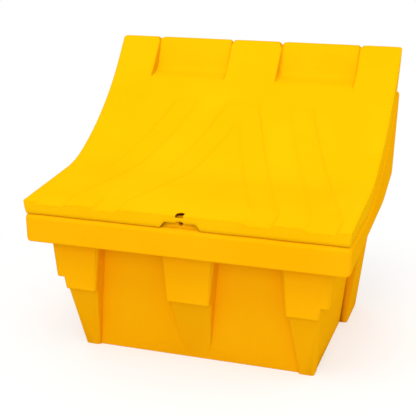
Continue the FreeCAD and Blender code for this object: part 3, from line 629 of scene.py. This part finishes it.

# %% [markdown]
# The opening's edge is thin on the real lid, because the skin is cut from below there. Its inner edge is
# pushed back under the skin. The shade inside the opening is painted: its vertices carry a mark of their own,
# which the plastic reads and turns brown.

# %% Thin the edge of the opening and paint the shade inside it
UNDERCUT, UNDERCUT_REACH = 0.003, 0.012
EDGE_AROUND, EDGE_BELOW = 0.03, 0.015  # the vertices that belong to the opening's edge
INSIDE_TOO = 1.3  # also those a little inside the outline, but not those in the middle
painted_shade = lid_shell.data.attributes.new(SHADE_MARK, "FLOAT", "POINT")
for vertex in lid_shell.data.vertices[outside:]:
    off = vertex.co - lock_middle
    if off.y < EDGE_AROUND and abs(off.x) < EDGE_AROUND and off.z > -EDGE_BELOW:
        level = Vector((off.x, max(off.y, 0.0), 0))
        share = 1 - (level.length - LOCK_HALF) / UNDERCUT_REACH
        # painted shade, brown on the inside of the opening and fading outwards
        painted_shade.data[vertex.index].value = min(max(share, 0.0), 1.0)
        if 0 < share <= INSIDE_TOO:
            vertex.co += level.normalized() * (UNDERCUT * min(share, 1.0))
        if abs(off.x) < LOCK_HALF and off.z < 0.001:
            vertex.co.z -= UNDERCUT * max(0.0, 1 + off.z / UNDERCUT_REACH)
lid_shell.data.update()
print("brown vertices at the opening", sum(mark.value > 0 for mark in painted_shade.data))

# %% [markdown]
# A thin line of shade is painted into the crease at the foot of the pockets' walls. The same mark on the
# vertices there carries it.

# %% Painted shade at the foot of the pocket walls
FOOT_SHADE, FOOT_SHADE_HALF, FOOT_SHADE_START = 0.28, 0.0022, POCKET_START + 0.03
shaded = 0
for vertex in lid_shell.data.vertices:
    inside = min(abs(vertex.co.x) - POCKET_FROM, POCKET_TO - abs(vertex.co.x))
    if abs(inside) < FOOT_SHADE_HALF and vertex.co.y > FOOT_SHADE_START - DEPTH / 2:
        # painted shade along the crease at the wall's foot
        painted_shade.data[vertex.index].value = FOOT_SHADE
        shaded += 1
print("soiled vertices at the pockets", shaded)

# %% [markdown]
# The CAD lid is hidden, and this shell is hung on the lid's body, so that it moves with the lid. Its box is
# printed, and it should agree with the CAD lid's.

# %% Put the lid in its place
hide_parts("lid")
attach(lid_shell, "lid")
corners = [lid_shell.matrix_world @ Vector(c) for c in lid_shell.bound_box]
print("lid shell", len(lid_shell.data.polygons), "faces")
print("box", [round(end(c[k] for c in corners), 4) for end in (min, max) for k in range(3)])

# %% [markdown]
# ## Nicks through the knuckles
#
# Where two knuckles meet, the crest has a V nick that runs back across both. A wedge with its point down has
# that shape, so four wedges are made once and cut the lid's bosses here and the tub later. Each is a triangle
# extruded towards the back.

# %% Nick wedges
NICK_FLOORS = ((0.0885, 0.020, 0.890), (0.3645, 0.018, 0.894))  # the middle, half width and floor height
WEDGE_TOP, WEDGE_FRONT, WEDGE_RUN = 0.917, 0.806, 0.06


def nick_wedges(name):
    """Four wedges, point down, one at each nick of the crest."""
    mesh = bmesh.new()
    for middle, half, floor_height in NICK_FLOORS:
        for side in (-1, 1):
            corners = [(side * middle - half, WEDGE_TOP), (side * middle + half, WEDGE_TOP),
                       (side * middle, floor_height)]
            face = mesh.faces.new([mesh.verts.new((x, WEDGE_FRONT - DEPTH / 2, z)) for x, z in corners])
            run = bmesh.ops.extrude_face_region(mesh, geom=[face], use_keep_orig=True)["geom"]
            run = [v for v in run if isinstance(v, bmesh.types.BMVert)]
            bmesh.ops.translate(mesh, verts=run, vec=(0, WEDGE_RUN, 0))
    bmesh.ops.recalc_face_normals(mesh, faces=mesh.faces)
    return to_object(mesh, name)


wedges = nick_wedges("nick_wedges")
print("wedges", len(wedges.data.polygons), "faces")

# %% [markdown]
# ## Hinge bosses of the lid
#
# Behind each pocket a long round boss carries the rod. It is moulded in one with the skin through a thick web.
# The boss is a cylinder with softened ends, and the web is one outline drawn along the rod.

# %% Bosses
HINGE = Vector((0.838, 0.891))
BOSS_RADIUS, BOSS_ROUND = 0.020, 0.002
WEB = [(0.790, 0.796), (0.838, 0.8735), (0.838, 0.9085), (0.8235, 0.9115), (0.8075, 0.879)]
WEB_INSET = 0.001


def hinge_boss(side):
    mesh = bmesh.new()
    length = POCKET_TO - POCKET_FROM
    along_x = Matrix.Rotation(math.radians(90), 4, "Y")
    centre = Matrix.Translation((POCKET_FROM + length / 2, HINGE.x - DEPTH / 2, HINGE.y))
    bmesh.ops.create_cone(mesh, cap_ends=True, segments=48, radius1=BOSS_RADIUS, radius2=BOSS_RADIUS,
                          depth=length, matrix=centre @ along_x)
    ends = [e for e in mesh.edges if abs(e.verts[0].co.x - e.verts[1].co.x) < 1e-5]
    bmesh.ops.bevel(mesh, geom=ends, offset=BOSS_ROUND, offset_type="OFFSET", segments=3, profile=0.5,
                    affect="EDGES", clamp_overlap=True, material=-1)
    outline = [mesh.verts.new((POCKET_FROM + WEB_INSET, y - DEPTH / 2, z)) for y, z in WEB]
    web = bmesh.ops.extrude_face_region(mesh, geom=[mesh.faces.new(outline)], use_keep_orig=True)["geom"]
    web = [v for v in web if isinstance(v, bmesh.types.BMVert)]
    bmesh.ops.translate(mesh, verts=web, vec=(length - 2 * WEB_INSET, 0, 0))
    if side < 0:
        bmesh.ops.scale(mesh, verts=mesh.verts, vec=(-1, 1, 1))
    bmesh.ops.recalc_face_normals(mesh, faces=mesh.faces)
    made = to_object(mesh, "lid_boss_right" if side > 0 else "lid_boss_left")
    made.data.materials.append(lid_plastic)
    modify(made, "BOOLEAN", operation="DIFFERENCE", solver="EXACT", use_self=True, object=wedges)
    modify(made, "WEIGHTED_NORMAL", mode="FACE_AREA", weight=50)
    settle(made)
    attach(made, "lid")
    return made


bosses = [hinge_boss(side) for side in (1, -1)]
print("bosses", [(b.name, len(b.data.polygons)) for b in bosses])

# %% [markdown]
# ## The tub
#
# The tub keeps the CAD model's collar, upstand, lugs and pilasters, because the frame is exact there. It is
# worked on as a copy. A CAD mesh comes as loose triangles, so the copy's corners are merged first.

# %% Tub from the CAD mesh
tub_mesh = bmesh.new()
tub_mesh.from_mesh(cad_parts["tub"].data)
bmesh.ops.transform(tub_mesh, matrix=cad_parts["tub"].matrix_world, verts=tub_mesh.verts)
loose = len(tub_mesh.verts)
bmesh.ops.remove_doubles(tub_mesh, verts=tub_mesh.verts, dist=0.00002)
print("tub vertices", loose, "merged to", len(tub_mesh.verts))

# %% [markdown]
# Behind the lip's notch the padlock tongue shows as an even orange from end to end, and its top shows through
# the half-round opening. So it stands close to the lip and nearly touches the skin. Its front face is brought
# forward here, its ends outwards and its top up, while the eye stays where it is.
# The tongue also gets painted shade, browner towards its top, which shows through the opening.

# %% Bring the tongue to the lip
TONGUE_FRONT, TONGUE_BACK, TONGUE_HALF = -0.402, -0.3925, 0.056
TONGUE_FOOT, TONGUE_HEIGHT, TONGUE_TOP = rim.height(0.0), 0.029, 0.505
TONGUE_FORWARD, TONGUE_WIDER, TONGUE_HIGHER, TONGUE_SHADE = 0.012, 0.011, 0.0040, 0.42
EYE_SIDE, SPREAD, TOP_FADE = 0.012, 0.03, 0.008  # beside the eye nothing widens, and both moves fade in
ON_FACE = 0.0006  # how near to a plane a vertex counts as on it
shade_layer = tub_mesh.verts.layers.float.new(SHADE_MARK)
tongue = [v for v in tub_mesh.verts if abs(v.co.x) < TONGUE_HALF and v.co.z > TONGUE_FOOT - ON_FACE
          and TONGUE_FRONT - ON_FACE < v.co.y < TONGUE_BACK]
for vertex in tongue:
    # painted shade, rising from nothing at the foot to the top of the tongue
    vertex[shade_layer] = TONGUE_SHADE * smooth((vertex.co.z - TONGUE_FOOT) / TONGUE_HEIGHT)
    if abs(vertex.co.y - TONGUE_FRONT) < ON_FACE:
        vertex.co.y -= TONGUE_FORWARD
    wider = TONGUE_WIDER * smooth((abs(vertex.co.x) - EYE_SIDE) / SPREAD)
    vertex.co.x += math.copysign(wider, vertex.co.x)
    vertex.co.z += TONGUE_HIGHER * smooth((vertex.co.z - TONGUE_TOP) / TOP_FADE)
print("tongue vertices moved", len(tongue))

# %% [markdown]
# A Boolean takes the four wedges out of the closed shell in one go. Edges sharper than a blend are marked, so
# that the shading stays crisp on them and smooth elsewhere. The wedges have then done their work and go.

# %% Tub shell
SHARP_EDGE = math.radians(28)
tub_shell = to_object(tub_mesh, "tub_shell")
tub_shell.data.materials.clear()
tub_shell.data.materials.append(tub_plastic)
modify(tub_shell, "BOOLEAN", operation="DIFFERENCE", solver="EXACT", object=wedges)
settle(tub_shell)
tub_shell.data.set_sharp_from_angle(angle=SHARP_EDGE)
modify(tub_shell, "WEIGHTED_NORMAL", mode="FACE_AREA", weight=50, keep_sharp=True)
settle(tub_shell)
bpy.data.objects.remove(wedges)
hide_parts("tub")
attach(tub_shell, "tub")
print("tub shell", len(tub_shell.data.polygons), "faces")

# %% [markdown]
# ## Camera
#
# The photograph was taken from the right and a little above, with a long lens, and then cropped, which moved
# the picture's middle away from the lens axis. A camera that is matched to it needs its place, its turn, its
# lens and a small vertical shift.

# %% Camera
PICTURE_SIDE, SENSOR = 416, 36.0
FOCAL_PIXELS = 942.29
LENS_AXIS = (209.36, 268.0)  # pixels from the picture's left and top
TURN, TILT, ROLL = 18.25, 21.354, -0.055
CAMERA_PLACE = (0.89018, -2.84938, 1.37299)


def turned(degrees, axis):
    return Matrix.Rotation(math.radians(degrees), 4, axis)


camera_data = bpy.data.cameras.new("photo_view")
camera_data.sensor_width = SENSOR
camera_data.lens = FOCAL_PIXELS / PICTURE_SIDE * SENSOR
camera_data.shift_x = (PICTURE_SIDE / 2 - LENS_AXIS[0]) / PICTURE_SIDE
camera_data.shift_y = (LENS_AXIS[1] - PICTURE_SIDE / 2) / PICTURE_SIDE
camera_data.clip_end = 100.0
camera = bpy.data.objects.new("photo_view", camera_data)
bpy.context.scene.collection.objects.link(camera)
camera.matrix_world = (Matrix.Translation(CAMERA_PLACE)
                       @ (turned(TURN, "Z") @ turned(90 - TILT, "X") @ turned(ROLL, "Z")))
bpy.context.scene.camera = camera
print("lens", round(camera_data.lens, 1), "mm")

# %% [markdown]
# ## Floor
#
# The photograph has a pure white ground. The floor's paper takes the bin's soft shadow close by. Further out,
# and only for camera and mirror rays, Light Path swaps it for plain white, so that the white ground adds no
# light to the plastic.

# %% Floor
PAPER_GREY, WHITE = (0.60, 0.60, 0.60, 1), (1, 1, 1, 1)
WHITE_NEAR, WHITE_FROM, WHITE_TO = 0.55, 0.6, 1.3  # the share of plain white near the bin, and where it grows

floor_mesh = bmesh.new()
bmesh.ops.create_grid(floor_mesh, x_segments=1, y_segments=1, size=30.0)
floor_data = bpy.data.meshes.new("floor")
floor_mesh.to_mesh(floor_data)
floor_mesh.free()
floor = bpy.data.objects.new("floor", floor_data)
bpy.context.scene.collection.objects.link(floor)

paper = Board("white_floor")
paper.feed("Base Color", PAPER_GREY)
paper.feed("Roughness", 0.9)
paper.feed("Specular IOR Level", 0.0)
near_paper = paper.node("BsdfDiffuse", {}, {"Color": WHITE})
plain_white = paper.node("Emission", {}, {"Color": WHITE, "Strength": 1.0})
distance = paper.node("VectorMath", {"operation": "LENGTH"}, {0: paper.place}, "Value")
whiteness = WHITE_NEAR + distance.smooth_step(WHITE_FROM, WHITE_TO) * (1 - WHITE_NEAR)
seen_floor = paper.node("MixShader", {}, {0: whiteness, 1: near_paper, 2: plain_white})
rays = paper.node("LightPath", {}, {}, "Is Camera Ray") + paper.node("LightPath", {}, {}, "Is Glossy Ray")
both = paper.node("MixShader", {}, {0: rays.clamped(), 1: Wire(paper, paper.shader.outputs[0]), 2: seen_floor})
paper.tree.links.new(both.socket, paper.output.inputs["Surface"])
floor_data.materials.append(paper.material)
print("floor", floor.name)

# %% [markdown]
# ## Light
#
# The photograph's light is soft and wide. The world gives most of it, and the camera sees the world as plain
# white. A disk above lights the lid, and a second one in front stands high enough for the collar to shade the
# wall below it. A weak third lights the far flank.

# %% World
SKY_STRENGTH = 0.82
scene = bpy.context.scene
scene.view_settings.view_transform = "Standard"
world = bpy.data.worlds.new("studio")
scene.world = world
world.use_nodes = True
tree = world.node_tree
tree.nodes.clear()


def plain_sky(strength):
    made = tree.nodes.new("ShaderNodeBackground")
    made.inputs["Color"].default_value = WHITE
    made.inputs["Strength"].default_value = strength
    return made


path = tree.nodes.new("ShaderNodeLightPath")
seen = tree.nodes.new("ShaderNodeMixShader")
tree.links.new(path.outputs["Is Camera Ray"], seen.inputs[0])
tree.links.new(plain_sky(SKY_STRENGTH).outputs[0], seen.inputs[1])
tree.links.new(plain_sky(1.0).outputs[0], seen.inputs[2])
tree.links.new(seen.outputs[0], tree.nodes.new("ShaderNodeOutputWorld").inputs["Surface"])
print("sky strength", SKY_STRENGTH)


# %% Lamps
def area_lamp(name, place, aim, size, power):
    data = bpy.data.lights.new(name, "AREA")
    data.shape = "DISK"
    data.size = size
    data.energy = power
    lamp = bpy.data.objects.new(name, data)
    scene.collection.objects.link(lamp)
    lamp.location = place
    lamp.rotation_euler = (Vector(aim) - Vector(place)).to_track_quat("-Z", "Y").to_euler()


area_lamp("key", place=(-0.1, -2.5, 5.0), aim=(0, 0, 0.5), size=3.0, power=69)
area_lamp("front", place=(0.9, -5.0, 2.7), aim=(0, 0, 0.3), size=2.6, power=66)
area_lamp("side", place=(4.6, 2.0, 0.9), aim=(0, 0, 0.45), size=2.6, power=36)
